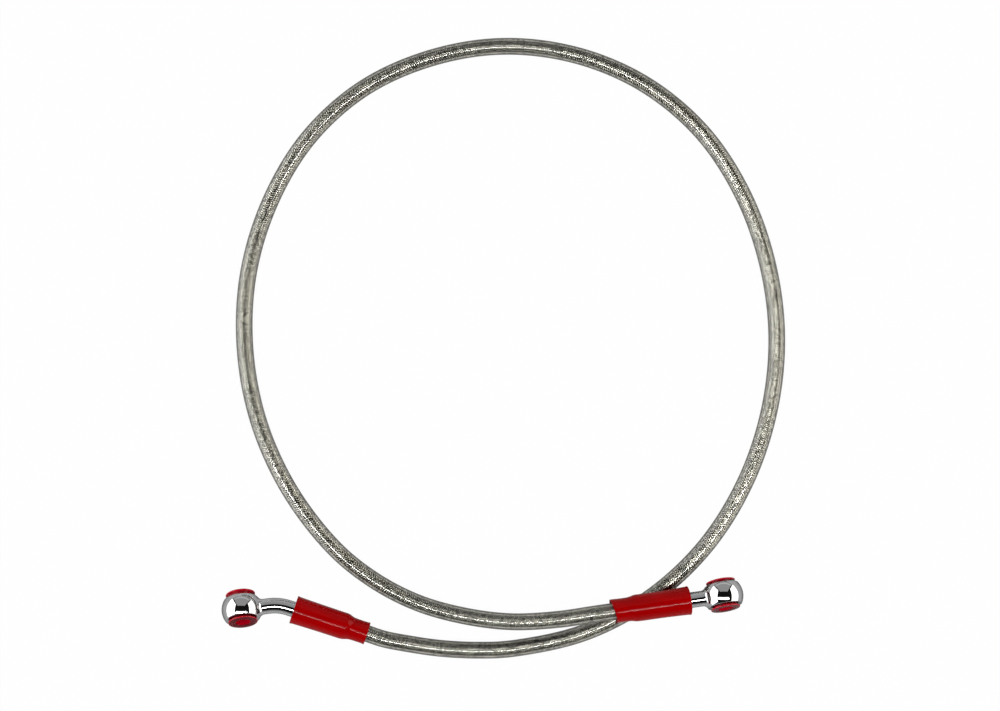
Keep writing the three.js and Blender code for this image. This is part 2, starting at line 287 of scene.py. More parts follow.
def arc_rows(centre: Pair, radius: float, start: float, end: float, steps: int) -> Rows:
    """Rows along an arc in the profile plane.

    Args:
        centre: Middle of the arc.
        radius: Radius of the arc.
        start: Where it starts, in degrees from the axis.
        end: Where it ends, in degrees from the axis.
        steps: Number of chords.

    Returns:
        The rows, both ends included.
    """
    rows = []
    for step in range(steps + 1):
        angle = math.radians(start + (end - start) * step / steps)
        rows.append((centre[0] + radius * math.cos(angle), centre[1] + radius * math.sin(angle)))
    return rows


def soft_step(share: float) -> float:
    """A way from 0 to 1 that starts and ends gently."""
    return share * share * (3 - 2 * share)


# Finishes


# Ranges that a noise's values lie in: the middle of them, and most of them
MIDDLE = (0.35, 0.65)
MOST = (0.3, 0.7)

# How strong each octave of a noise is beside the one before it
OCTAVE_SHARE = 0.55

LEVEL = (0.0, 0.0, 0.0)
EVEN = (1.0, 1.0, 1.0)


class NodeSheet:
    """The node tree of one material, with short calls for what every finish needs."""

    def __init__(self, name: str) -> None:
        """Makes the material with its first shader."""
        self.material = bpy.data.materials.new(name)
        self.material.use_nodes = True
        self.tree = self.material.node_tree
        self.shader = self.tree.nodes["Principled BSDF"]
        self.output = self.tree.nodes["Material Output"]

    def add(self, kind: str, inputs: dict | None = None, **settings: str) -> bpy.types.Node:
        """Adds a node.

        Args:
            kind: Type of the node.
            inputs: Values of its sockets.
            settings: Values of its own settings.

        Returns:
            The node.
        """
        node = self.tree.nodes.new(kind)
        for key, value in settings.items():
            setattr(node, key, value)
        for key, value in (inputs or {}).items():
            node.inputs[key].default_value = value
        return node

    def join(self, source: Socket, target: Socket) -> None:
        """Links two sockets."""
        self.tree.links.new(source, target)

    def feed(self, name: str, source: Socket) -> None:
        """Links a pattern to one of the shader's own sockets."""
        self.join(source, self.shader.inputs[name])

    def show(self, shader: Socket) -> None:
        """Makes a shader the one that the material shows."""
        self.join(shader, self.output.inputs["Surface"])

    def set(self, **values: float | tuple) -> None:
        """Sets constants on the shader's own sockets; an underscore in a name stands for a space."""
        for key, value in values.items():
            self.shader.inputs[key.replace("_", " ")].default_value = value

    def noise(self, scale: float, detail: int, turn: Triple = LEVEL, stretch: Triple = EVEN) -> Socket:
        """Noise on Object coordinates, turned and stretched along a piece.

        Args:
            scale: Features for each metre.
            detail: Octaves.
            turn: Rotation of the pattern, in radians.
            stretch: Scale along each axis of the turned pattern.

        Returns:
            The noise's factor.
        """
        place_node = self.add("ShaderNodeTexCoord")
        mapping = self.add("ShaderNodeMapping", {"Rotation": turn, "Scale": stretch})
        values = {"Scale": scale, "Detail": detail, "Roughness": OCTAVE_SHARE}
        noise = self.add("ShaderNodeTexNoise", values)
        self.join(place_node.outputs["Object"], mapping.inputs["Vector"])
        self.join(mapping.outputs["Vector"], noise.inputs["Vector"])
        return noise.outputs["Fac"]

    def between(self, value: Socket, low: Triple, high: Triple, span: Pair) -> Socket:
        """A colour ramp.

        Args:
            value: What picks the colour.
            low: Colour at the span's start and below.
            high: Colour at the span's end and above.
            span: Values between which the colour changes.

        Returns:
            The colour.
        """
        ramp = self.add("ShaderNodeValToRGB")
        for stop, position, colour in zip(ramp.color_ramp.elements, span, (low, high)):
            stop.position = position
            stop.color = (*colour, 1)
        self.join(value, ramp.inputs["Fac"])
        return ramp.outputs["Color"]

    def ranged(self, value: Socket, source: Pair, target: Pair, kind: str = "LINEAR") -> Socket:
        """A value mapped from one range to another, and clamped.

        Args:
            value: The value.
            source: Range that it is mapped from.
            target: Range that it is mapped to.
            kind: How it goes from one end to the other.

        Returns:
            The mapped value.
        """
        node = self.add("ShaderNodeMapRange", interpolation_type=kind)
        for name, end in zip(("From Min", "From Max", "To Min", "To Max"), (*source, *target)):
            node.inputs[name].default_value = end
        self.join(value, node.inputs["Value"])
        return node.outputs["Result"]

    def math(self, operation: str, first: Socket | float, second: Socket | float | None = None) -> Socket:
        """A Math node.

        Args:
            operation: What it works out.
            first: Its first value.
            second: Its second value, where it takes one.

        Returns:
            The result.
        """
        node = self.add("ShaderNodeMath", operation=operation)
        for socket, value in zip(node.inputs, (first, second)):
            if isinstance(value, Socket):
                self.join(value, socket)
            elif value is not None:
                socket.default_value = value
        return node.outputs["Value"]

    def bump(self, height: Socket, strength: float, depth: float) -> None:
        """Bumps the shader's normal.

        Args:
            height: The pattern.
            strength: How much of the bump shows.
            depth: Depth of the pattern, in millimetres.
        """
        node = self.add("ShaderNodeBump", {"Strength": strength, "Distance": depth * MM})
        self.join(height, node.inputs["Height"])
        self.feed("Normal", node.outputs["Normal"])

    def mixed(self, share: Socket, first: Socket, second: Socket) -> Socket:
        """Two shaders mixed.

        Args:
            share: Share of the second.
            first: The first shader.
            second: The second shader.

        Returns:
            The mixed shader.
        """
        mix = self.add("ShaderNodeMixShader")
        self.join(share, mix.inputs["Fac"])
        self.join(first, mix.inputs[1])
        self.join(second, mix.inputs[2])
        return mix.outputs["Shader"]


@dataclass(frozen=True)
class Chrome:
    """Bright plated steel: nearly a mirror, with a faint ripple and a little haze."""

    colour: Triple = (0.63, 0.64, 0.65)
    haze: Triple = (0.61, 0.61, 0.62)
    edge_tint: tuple = (0.35, 0.35, 0.36, 1)
    roughness: Pair = (0.03, 0.075)
    cloud_scale: float = 260
    ripple_scale: float = 420
    ripple_relief: Pair = (0.14, 0.04)

    def build(self) -> bpy.types.Material:
        """Makes the material."""
        sheet = NodeSheet("plated steel")
        sheet.set(Metallic=1.0, Specular_Tint=self.edge_tint)
        cloud = sheet.noise(self.cloud_scale, 3)
        sheet.feed("Base Color", sheet.between(cloud, self.haze, self.colour, MIDDLE))
        sheet.feed("Roughness", sheet.ranged(cloud, MOST, self.roughness))
        sheet.bump(sheet.noise(self.ripple_scale, 1), *self.ripple_relief)
        return sheet.material


@dataclass(frozen=True)
class BrushedSteel:
    """Turned steel of the ferrules, with fine rings round the axis."""

    turn: Triple
    colour: Triple = (0.5, 0.5, 0.49)
    dull: Triple = (0.34, 0.34, 0.34)
    roughness: Pair = (0.25, 0.4)
    ring_scale: float = 900
    ring_stretch: Triple = (4, 0.3, 0.3)
    ring_relief: Pair = (0.3, 0.03)

    def build(self) -> bpy.types.Material:
        """Makes the material."""
        sheet = NodeSheet("turned steel")
        sheet.set(Metallic=1.0)
        rings = sheet.noise(self.ring_scale, 2, self.turn, self.ring_stretch)
        sheet.feed("Base Color", sheet.between(rings, self.dull, self.colour, MOST))
        sheet.feed("Roughness", sheet.ranged(rings, MOST, self.roughness))
        sheet.bump(rings, *self.ring_relief)
        return sheet.material


@dataclass(frozen=True)
class BraidWire:
    """Stainless wires side by side in each strand, drawn across the strand by its UV map, with painted
    shade at the edges of wires and strands, a painted highlight along each strand's middle and painted
    glints.
    """

    wires: int = 5
    # Painted highlight and painted shade: the light colour is painted along the middle of each strand, the
    # near black at its edges and between its wires
    crown_highlight: Triple = (0.95, 0.93, 0.86)
    shade: Triple = (0.012, 0.011, 0.008)
    shade_to_highlight: Pair = (0.25, 0.8)
    roughness: float = 0.42
    wire_fullness: float = 0.15
    strand_fullness: float = 0.9
    drift_scale: float = 170
    drift_tone: Pair = (0.87, 1.0)
    glint_scale: float = 1150
    glint_span: Pair = (0.42, 0.58)
    glint_tone: Pair = (0.5, 1.0)
    wire_height: float = 0.2
    relief: Pair = (0.32, 0.1)

    def build(self) -> bpy.types.Material:
        """Makes the material."""
        sheet = NodeSheet("stainless wire")
        sheet.set(Metallic=1.0, Roughness=self.roughness)
        weave = sheet.add("ShaderNodeUVMap", uv_map=WEAVE_MAP)
        parts = sheet.add("ShaderNodeSeparateXYZ")
        sheet.join(weave.outputs["UV"], parts.inputs["Vector"])
        across = parts.outputs["Y"]
        # Painted shade at each wire's and each strand's edge, and a painted highlight along the strand's
        # middle
        waves = sheet.math("SINE", sheet.math("MULTIPLY", across, self.wires * math.pi))
        wire = sheet.math("ABSOLUTE", waves)
        strand = sheet.math("SINE", sheet.math("MULTIPLY", across, math.pi))
        full_wire = sheet.math("POWER", wire, self.wire_fullness)
        full_strand = sheet.math("POWER", strand, self.strand_fullness)
        body = sheet.math("MULTIPLY", full_wire, full_strand)
        # A slow random tone, then painted glints: a fine noise lightens and darkens the strands in spots
        drift = sheet.ranged(sheet.noise(self.drift_scale, 2), MIDDLE, self.drift_tone)
        glint = sheet.ranged(sheet.noise(self.glint_scale, 1), self.glint_span, self.glint_tone)
        tone = sheet.math("MULTIPLY", body, sheet.math("MULTIPLY", drift, glint))
        sheet.feed("Base Color", sheet.between(tone, self.shade, self.crown_highlight, self.shade_to_highlight))
        height = sheet.math("ADD", sheet.math("MULTIPLY", wire, self.wire_height), strand)
        sheet.bump(height, *self.relief)
        return sheet.material


@dataclass(frozen=True)
class ClearJacket:
    """Clear glossy plastic.

    It is open in the middle; towards its edges, as the surface turns from the view, it is painted pale for
    the lit wires seen through it, then painted dark as shade at its rims.
    """

    # Painted shade and painted light: the dark colour is painted at the silhouette and the pale one just
    # inside it, standing for the lit wires seen through the plastic
    rim: Triple = (0.09, 0.09, 0.08)
    flank_light: Triple = (0.38, 0.37, 0.33)
    tint: tuple = (0.97, 0.97, 0.95, 1)
    refraction: float = 1.6
    film_roughness: float = 0.035
    wall_roughness: float = 0.3
    wall_shine: float = 0.15
    flank_span: Pair = (0.2, 0.36)
    rim_shade_span: Pair = (0.32, 0.44)
    cover: float = 0.96
    speckle_scale: float = 1150
    speckle: Pair = (-0.1, 0.1)
    swell_scale: float = 120
    swell_relief: Pair = (0.1, 0.1)

    def build(self) -> bpy.types.Material:
        """Makes the material."""
        sheet = NodeSheet("clear jacket")
        sheet.set(Roughness=self.wall_roughness, IOR=self.refraction, Specular_IOR_Level=self.wall_shine)
        front = sheet.math("SUBTRACT", 1.0, sheet.add("ShaderNodeNewGeometry").outputs["Backfacing"])
        clear = sheet.add("ShaderNodeBsdfTransparent", {"Color": self.tint})
        gloss = sheet.add("ShaderNodeBsdfGlossy", {"Color": (1, 1, 1, 1), "Roughness": self.film_roughness})
        fresnel = sheet.add("ShaderNodeFresnel", {"IOR": self.refraction})
        shine = sheet.math("MULTIPLY", fresnel.outputs["Fac"], front)
        film = sheet.mixed(shine, clear.outputs["BSDF"], gloss.outputs["BSDF"])
        # The plain shader carries the painted light and shade: its colour goes from the pale painted light
        # to the dark painted rim shade as the surface turns from the view, with a speckled border, and it
        # covers the film only there and only on the front side
        facing = sheet.add("ShaderNodeLayerWeight", {"Blend": 0.5}).outputs["Facing"]
        speckle = sheet.ranged(sheet.noise(self.speckle_scale, 1), MIDDLE, self.speckle)
        spotted = sheet.math("ADD", facing, speckle)
        sheet.feed("Base Color", sheet.between(spotted, self.flank_light, self.rim, self.rim_shade_span))
        edge = sheet.ranged(facing, self.flank_span, (0.0, self.cover), "SMOOTHSTEP")
        wall = sheet.math("MULTIPLY", edge, front)
        sheet.show(sheet.mixed(wall, film, sheet.shader.outputs["BSDF"]))
        sheet.bump(sheet.noise(self.swell_scale, 2), *self.swell_relief)
        return sheet.material


@dataclass(frozen=True)
class WhiteLiner:
    """White fluoropolymer with a faint cloudiness."""

    colour: Triple = (0.8, 0.79, 0.74)
    shade: Triple = (0.7, 0.69, 0.64)
    roughness: float = 0.45
    cloud_scale: float = 220
    cloud_relief: Pair = (0.1, 0.05)

    def build(self) -> bpy.types.Material:
        """Makes the material."""
        sheet = NodeSheet("white liner")
        sheet.set(Roughness=self.roughness)
        cloud = sheet.noise(self.cloud_scale, 2)
        sheet.feed("Base Color", sheet.between(cloud, self.shade, self.colour, MIDDLE))
        sheet.bump(cloud, *self.cloud_relief)
        return sheet.material


@dataclass(frozen=True)
class ShrinkTube:
    """Glossy red heat-shrink, with faint drawn lines along the tube and soft creases."""

    turn: Triple
    colour: Triple = (0.25, 0.0001, 0.0006)
    deep: Triple = (0.195, 0.0001, 0.0004)
    deep_to_colour: Pair = (0.25, 0.6)
    roughness: float = 0.1
    refraction: float = 1.48
    shine: float = 0.11
    drawn_scale: float = 300
    drawn_stretch: Triple = (0.18, 1, 1)
    drawn_height: float = 0.2
    crease_scale: float = 160
    crease_stretch: Triple = (0.6, 1, 1)
    relief: Pair = (0.16, 0.25)

    def build(self) -> bpy.types.Material:
        """Makes the material."""
        sheet = NodeSheet("red shrink tube")
        sheet.set(Roughness=self.roughness, IOR=self.refraction, Specular_IOR_Level=self.shine)
        drawn = sheet.noise(self.drawn_scale, 2, self.turn, self.drawn_stretch)
        sheet.feed("Base Color", sheet.between(drawn, self.deep, self.colour, self.deep_to_colour))
        creases = sheet.noise(self.crease_scale, 2, self.turn, self.crease_stretch)
        height = sheet.math("ADD", creases, sheet.math("MULTIPLY", drawn, self.drawn_height))
        sheet.bump(height, *self.relief)
        return sheet.material


@dataclass(frozen=True)
class MouldedPlug:
    """Dark red moulded plastic, slightly milky, with a fine moulded grain."""

    name: str
    colour: Triple
    deep: Triple
    shine: float
    roughness: float = 0.22
    milk_scale: float = 380
    grain_scale: float = 1500
    grain_relief: Pair = (0.12, 0.05)

    def build(self) -> bpy.types.Material:
        """Makes the material."""
        sheet = NodeSheet(self.name)
        sheet.set(Roughness=self.roughness, Specular_IOR_Level=self.shine)
        milk = sheet.noise(self.milk_scale, 2)
        sheet.feed("Base Color", sheet.between(milk, self.deep, self.colour, MOST))
        sheet.bump(sheet.noise(self.grain_scale, 2), *self.grain_relief)
        return sheet.material


# The plugs' red comes as two copies of one plastic: a darker one on the ring round each hollow as painted
# shade, and a lighter one on the walls as painted light
PLUG_SHADED_FACE = MouldedPlug("moulded plug shaded face", (0.1, 0.002, 0.006), (0.07, 0.001, 0.004), 0.05)
PLUG_LIT_WALL = MouldedPlug("moulded plug lit wall", (0.42, 0.001, 0.012), (0.3, 0.0005, 0.008), 0.3)


@dataclass(frozen=True)
class PaleFloor:
    """Plain floor that reads white to the camera and in the metal, and still takes a soft shadow."""

    colour: tuple = (0.4, 0.4, 0.4, 1)
    seen_white: float = 0.985
    mirrored_white: float = 0.03

    def build(self) -> bpy.types.Material:
        """Makes the material."""
        sheet = NodeSheet("pale floor")
        sheet.tree.nodes.remove(sheet.shader)
        matte = sheet.add("ShaderNodeBsdfDiffuse", {"Color": self.colour})
        white = sheet.add("ShaderNodeEmission", {"Color": (1, 1, 1, 1), "Strength": 1.0})
        ray = sheet.add("ShaderNodeLightPath")
        mirrored = sheet.math("MAXIMUM", ray.outputs["Is Glossy Ray"], ray.outputs["Is Transmission Ray"])
        seen = sheet.math("MULTIPLY", ray.outputs["Is Camera Ray"], self.seen_white)
        share = sheet.math("MAXIMUM", seen, sheet.math("MULTIPLY", mirrored, self.mirrored_white))
        sheet.show(sheet.mixed(share, matte.outputs["BSDF"], white.outputs["Emission"]))
        return sheet.material


# Sizes that the two ends and the hose share


@dataclass(frozen=True)
class EndPlacing:
    """How one dressed end lies: which way it points, how it leans and where its pieces sit along it."""

    prefix: str
    ball: tuple
    heading: float
    pitch: float
    roll: float
    side: int
    eye_turn: float
    bend: float
    neck_reach: float
    sleeve_start: float
    upper_plug_lift: float
    lower_plug_lift: float
    sleeve_spread: float
    sleeve_mouth: float
    sleeve_grip: float
    sleeve_slant: float


@dataclass(frozen=True)
class Crease:
    """Unevenness of a skin: its depth, the seed of its random draws and how often it is smoothed."""

    depth: float
    seed: int
    rounds: int


@dataclass(frozen=True)
class BanjoSizes:
    """Sizes of the fittings, ferrules, sleeves and plugs, the same at both ends."""

    ball_radius: float = 8.9
    ball_segments: int = 96
    ball_rings: int = 64
    half_eye: float = 4.8
    eye_bore: float = 5.05
    eye_chamfer: float = 0.35
    eye_edge: float = 0.22
    oil_groove: float = 5.7
    half_groove: float = 1.5
    neck_radius: float = 3.45
    neck_sides: int = 64
    neck_sink: float = 0.2
    bend_radius: float = 20
    bend_steps: int = 16
    root_fillet: float = 2.5
    root_steps: int = 8
    shoulder: float = 1.4
    stake_groove: float = 2.8
    lip_radius: float = 3.3
    lip_start: float = 3.2
    lip_end: float = 4.4
    nipple_end: float = 20.5
    barb: float = 1.42
    barb_root: float = 1.22
    barb_pitch: float = 3
    barb_step: float = 0.2
    neck_bore: float = 1.2
    nipple_bore: float = 0.8
    drill_start: float = 2.5
    drill_past: float = 1
    drill_sides: int = 20
    ferrule_start: float = 1.5
    ferrule_end: float = 24
    ferrule_radius: float = 5
    ferrule_sides: int = 64
    ferrule_end_wall: float = 1.6
    ferrule_chamfer: float = 0.4
    ferrule_bore: float = 3.9
    crimp_margin: float = 4
    crimp_depth: float = 0.2
    crimp_flats: int = 8
    crimp_die_reach: float = 1.6
    sleeve_wall: float = 0.5
    sleeve_sides: int = 72
    sleeve_wide: float = 5.68
    sleeve_lip: float = 0.12
    sleeve_flare: float = 0.15
    sleeve_rings: tuple = (1.2, 4, 7, 10, 13, 17, 20, 22.5)
    sleeve_mouth_end: float = 17
    sleeve_mouth_fade: float = 1.5
    sleeve_taper_start: float = 23.2
    sleeve_taper_end: float = 27.4
    sleeve_taper_steps: int = 12
    sleeve_taper_bulge: float = 0.1
    sleeve_grip_rings: tuple = (29.0, 31.0, 33.15)
    sleeve_end: float = 34.15
    crease_start: float = 2
    crease_margin: float = 1.5
    step_crease: Crease = Crease(depth=0.22, seed=11, rounds=5)
    skin_crease: Crease = Crease(depth=0.08, seed=5, rounds=6)
    slant_stages: tuple = ((2, 0.4), (0.5, 0.6))
    flange_radius: float = 6.5
    flange_thickness: float = 0.6
    flange_round: float = 0.2
    flange_round_steps: int = 4
    flange_chamfer: float = 0.15
    plug_sides: int = 72
    plug_mouth: float = 4.88
    plug_depth: float = 4.2
    plug_tip: float = 0.3
    plug_taper: float = 0.25
    plug_floor: float = 1.0
    floor_round: float = 0.2
    recess_radius: float = 3.3
    recess_chamfer: float = 0.25
    face_groove: tuple = (0.75, 0.95, 1.15, 1.35)
    face_groove_depth: float = 0.18
    fit_clearance: float = 0.1

    def resting_height(self, lean: float, lift: float) -> float:
        """Height of the ball's middle at which the ball or the lower plug's flange touches the floor.

        Args:
            lean: Sine of the bore axis's climb.
            lift: How far the lower plug stands off its face.

        Returns:
            The height.
        """
        reach = self.half_eye + self.fit_clearance + lift + self.flange_thickness
        return max(self.ball_radius, reach * lean + self.flange_radius * math.sqrt(1 - lean**2))


@dataclass
class BanjoEnd:
    """One end: banjo fitting, two plugs, crimp ferrule and heat-shrink sleeve."""

    placing: EndPlacing
    sizes: BanjoSizes = field(default_factory=BanjoSizes)
    pieces: list = field(default_factory=list)

    def eye_matrix(self) -> Matrix:
        """The frame of the ball: X along the neck's root, Z along the bore; in millimetres."""
        end = self.placing
        pitch, heading, roll, bend = (math.radians(a) for a in (end.pitch, end.heading, end.roll, end.bend))
        flat = math.cos(pitch)
        to_hose = Vector((flat * math.cos(heading), flat * math.sin(heading), math.sin(pitch)))
        level = Vector((-math.sin(heading), math.cos(heading), 0)) * end.side
        upright = to_hose.cross(level) * end.side
        facing = level * math.cos(roll) + upright * math.sin(roll)
        neck = to_hose * math.cos(bend) - facing * math.sin(bend)
        bore = to_hose * math.sin(bend) + facing * math.cos(bend)
        across = bore.cross(neck)
        turned_bore = Matrix.Rotation(math.radians(end.eye_turn), 3, neck) @ bore
        height = self.sizes.resting_height(turned_bore.z, end.lower_plug_lift)
        matrix = Matrix((neck, across, bore)).transposed().to_4x4()
        matrix.translation = Vector((*end.ball, height))
        return matrix

    def eye_turn(self) -> Matrix:
        """The turn of the eye and its plugs about the neck, away from the plane that the neck bends in."""
        return Matrix.Rotation(math.radians(self.placing.eye_turn), 4, "X")

    def sleeve_matrix(self) -> Matrix:
        """The frame of the sleeve: X along it towards the hose; in millimetres."""
        end = self.placing
        bend = math.radians(end.bend)
        along = end.neck_reach + end.sleeve_start * math.cos(bend)
        corner = Vector((along, 0, end.sleeve_start * math.sin(bend)))
        return self.eye_matrix() @ Matrix.Translation(corner) @ Matrix.Rotation(-bend, 4, "Y")

    def along(self, distance: float) -> Vector:
        """A point on the sleeve's axis, in the row frame and millimetres."""
        return self.sleeve_matrix() @ Vector((distance, 0, 0))

    def settle(self, obj: bpy.types.Object, matrix: Matrix) -> None:
        """Puts a piece from the frame that it was made in into the row frame.

        Args:
            obj: The piece.
            matrix: The frame that it was made in, in millimetres.
        """
        where = matrix.copy()
        where.translation = matrix.translation * MM
        place(obj, where)

    def eye(self) -> bpy.types.Object:
        """The ball with its two flat faces, cross bore and oil groove, in the ball's frame."""
        s = self.sizes
        deselect_everything()
        bpy.ops.mesh.primitive_uv_sphere_add(
            segments=s.ball_segments, ring_count=s.ball_rings, radius=s.ball_radius * MM
        )
        ball = bpy.context.object
        ball.name = f"{self.placing.prefix}_fitting"
        bpy.ops.object.mode_set(mode="EDIT")
        mouth = s.eye_bore + s.eye_chamfer
        flat = math.sqrt(s.ball_radius**2 - s.half_eye**2)
        for sign in (1, -1):
            bpy.ops.mesh.select_all(action="SELECT")
            face = Vector((0, 0, sign * s.half_eye * MM))
            bpy.ops.mesh.bisect(plane_co=face, plane_no=(0, 0, sign), use_fill=True, clear_outer=True)
            bpy.ops.mesh.inset(thickness=(flat - mouth) * MM, depth=0)
            shell = bmesh.from_edit_mesh(ball.data)
            reach = max(v.co.xy.length for v in shell.verts if v.select) / MM
            bpy.ops.transform.resize(value=(mouth / reach, mouth / reach, 1), center_override=face)
            bpy.ops.mesh.delete(type="ONLY_FACE")
        select_vertices(ball, lambda p: p.z > s.half_eye - ON_PLANE and p.xy.length < mouth + ON_RADIUS)
        rows = [
            (s.half_eye - s.eye_chamfer, s.eye_bore),
            (s.half_groove, s.eye_bore),
            (s.half_groove, s.oil_groove),
            (-s.half_groove, s.oil_groove),
            (-s.half_groove, s.eye_bore),
            (-s.half_eye + s.eye_chamfer, s.eye_bore),
            (-s.half_eye, mouth),
        ]
        at, radius = s.half_eye, mouth
        for along, wide in rows:
            bpy.ops.mesh.extrude_region_move(
                TRANSFORM_OT_translate={"value": (0, 0, (along - at) * MM), "orient_type": "GLOBAL"}
            )
            ratio = wide / radius
            bpy.ops.transform.resize(value=(ratio, ratio, 1), center_override=(0, 0, along * MM))
            at, radius = along, wide
        select_vertices(
            ball, lambda p: abs(abs(p.z) - s.half_eye) < ON_PLANE and p.xy.length > flat - ON_RADIUS
        )
        bpy.ops.mesh.bevel(offset=s.eye_edge * MM, offset_type="OFFSET", segments=3, affect="EDGES")
        close_shell(ball, fill=False)
        return ball

    def neck_line(self, name: str, rows: Rows, after: Rows, sides: int) -> bpy.types.Object:
        """A solid that follows the neck's middle line towards the nipple's tip.

        Args:
            name: Name of the object.
            rows: Rows before the bend, measured from the ball's middle.
            after: Rows past the bend, measured from the sleeve's start.
            sides: Number of facets round it.

        Returns:
            The closed solid.
        """
        s, end = self.sizes, self.placing
        pen = Pen(name, ALONG_NECK * rows[0][0], ALONG_NECK, rows[0][1], sides)
        pen.follow(rows)
        tangent = s.bend_radius * math.tan(math.radians(end.bend) / 2)
        at = pen.centre.x
        if end.bend:
            pen.advance(end.neck_reach - tangent - at, pen.radius)
            pen.bend(end.bend, s.bend_radius, s.bend_steps)
            pen.advance(end.sleeve_start - tangent + after[0][0], after[0][1])
        else:
            pen.advance(end.neck_reach + end.sleeve_start + after[0][0] - at, after[0][1])
        pen.follow(after)
        return pen.finish(fill=True)

    def neck_rows(self) -> Rows:
        """Profile of the neck's root, from inside the eye's wall along its fillet."""
        s = self.sizes
        fillet_radius = s.neck_radius + s.root_fillet
        fillet_along = math.sqrt((s.ball_radius + s.root_fillet) ** 2 - fillet_radius**2)
        on_ball = -180 + math.degrees(math.atan2(fillet_radius, fillet_along))
        root = arc_rows((fillet_along, fillet_radius), s.root_fillet, on_ball, -90, s.root_steps)
        wall_middle = (s.oil_groove + s.ball_radius) / 2 - s.neck_sink
        return [(wall_middle, root[0][1] - s.neck_sink), *root]

    def nipple_rows(self) -> Rows:
        """Profile of the shoulder, staking groove, lip and barbed nipple."""
        s = self.sizes
        rows = [
            (s.shoulder, s.neck_radius),
            (s.shoulder, s.stake_groove),
            (s.lip_start, s.stake_groove),
            (s.lip_start, s.lip_radius),
            (s.lip_end, s.lip_radius),
            (s.lip_end, s.barb_root),
        ]
        at = s.lip_end + s.barb_pitch
        while at < s.nipple_end - s.barb_pitch / 2:
            rows += [(at, s.barb), (at + s.barb_step, s.barb_root)]
            at += s.barb_pitch
        return [*rows, (s.nipple_end - s.barb_step, s.barb), (s.nipple_end, s.barb_root)]

    def fitting(self) -> bpy.types.Object:
        """The banjo fitting: eye, filleted neck, staking groove, lip and barbed nipple, drilled through."""
        s = self.sizes
        drilled = [
            (s.lip_start, s.neck_bore),
            (s.lip_start, s.nipple_bore),
            (s.nipple_end + s.drill_past, s.nipple_bore),
        ]
        body = self.eye()
        place(body, self.eye_turn())
        neck = self.neck_line("neck", self.neck_rows(), self.nipple_rows(), s.neck_sides)
        drill = self.neck_line("drilling", [(s.drill_start, s.neck_bore)], drilled, s.drill_sides)
        work(body, neck, Cut.JOIN)
        work(body, drill, Cut.REMOVE)
        smooth(body, degrees=30)
        self.settle(body, self.eye_matrix())
        return body

    def ferrule(self) -> bpy.types.Object:
        """The crimped cup that holds the hose on the nipple."""
        s = self.sizes
        hole = s.stake_groove + s.fit_clearance
        rim = s.ferrule_radius - s.ferrule_chamfer
        rows = [
            (s.ferrule_start, hole),
            (s.ferrule_start, rim),
            (s.ferrule_start + s.ferrule_chamfer, s.ferrule_radius),
            (s.ferrule_end - s.ferrule_chamfer, s.ferrule_radius),
            (s.ferrule_end, rim),
            (s.ferrule_end, s.ferrule_bore),
            (s.ferrule_start + s.ferrule_end_wall, s.ferrule_bore),
            (s.ferrule_start + s.ferrule_end_wall, hole),
            (s.ferrule_start, hole),
        ]
        name = f"{self.placing.prefix}_crimp_ferrule"
        cup = turned(name, rows, s.ferrule_sides, ALONG_NECK, fill=False)
        jaw = (s.ferrule_radius - s.crimp_depth) / math.cos(math.pi / s.crimp_flats)
        outside = jaw * s.crimp_die_reach
        first = s.ferrule_start + s.crimp_margin
        last = s.ferrule_end - s.crimp_margin
        ring = [(first, jaw), (first, outside), (last, outside), (last, jaw), (first, jaw)]
        die = turned("crimp_die", ring, s.crimp_flats, ALONG_NECK, fill=False)
        work(cup, die, Cut.REMOVE)
        smooth(cup, degrees=20)
        self.settle(cup, self.sleeve_matrix())
        return cup

    def sleeve_rows(self) -> Rows:
        """Profile of the heat-shrink tube, necked down past the ferrule in a soft step."""
        s, end = self.sizes, self.placing
        wide, grip, lip = s.sleeve_wide, end.sleeve_grip, s.sleeve_lip
        outside = []
        for along in s.sleeve_rings:
            opening = max(0, 1 - along / s.sleeve_mouth_end) ** s.sleeve_mouth_fade
            outside.append((along, wide + end.sleeve_mouth * opening))
        mouth = outside[0][1] + s.sleeve_flare
        outside = [(0.0, mouth - lip), (lip, mouth), *outside]
        for step in range(s.sleeve_taper_steps + 1):
            share = step / s.sleeve_taper_steps
            along = s.sleeve_taper_start + (s.sleeve_taper_end - s.sleeve_taper_start) * share
            bulge = s.sleeve_taper_bulge * math.sin(math.pi * share)
            outside.append((along, wide + (grip - wide) * soft_step(share) + bulge))
        outside += [(along, grip) for along in s.sleeve_grip_rings]
        far = grip + s.sleeve_flare
        outside += [(s.sleeve_end - lip, far), (s.sleeve_end, far - lip)]
        inside = [(along, radius - s.sleeve_wall) for along, radius in outside]
        inside[0] = (0.0, inside[0][1] + 2 * lip)
        inside[-1] = (s.sleeve_end, inside[-1][1] + 2 * lip)
        return [*outside, *reversed(inside), outside[0]]

    def sleeve(self) -> bpy.types.Object:
        """The heat-shrink tube, creased at its step and a little oval, with its lips rounded."""
        s, end = self.sizes, self.placing
        name = f"{end.prefix}_shrink_sleeve"
        tube = turned(name, self.sleeve_rows(), s.sleeve_sides, ALONG_NECK, fill=False)
        self.crease(tube)
        self.slant(tube)
        smooth(tube, degrees=50)
        level = Matrix.Rotation(-end.side * math.radians(end.roll), 4, "X")
        oval = level @ Matrix.Diagonal((1, 1, end.sleeve_spread, 1))
        self.settle(tube, self.sleeve_matrix() @ oval)
        return tube

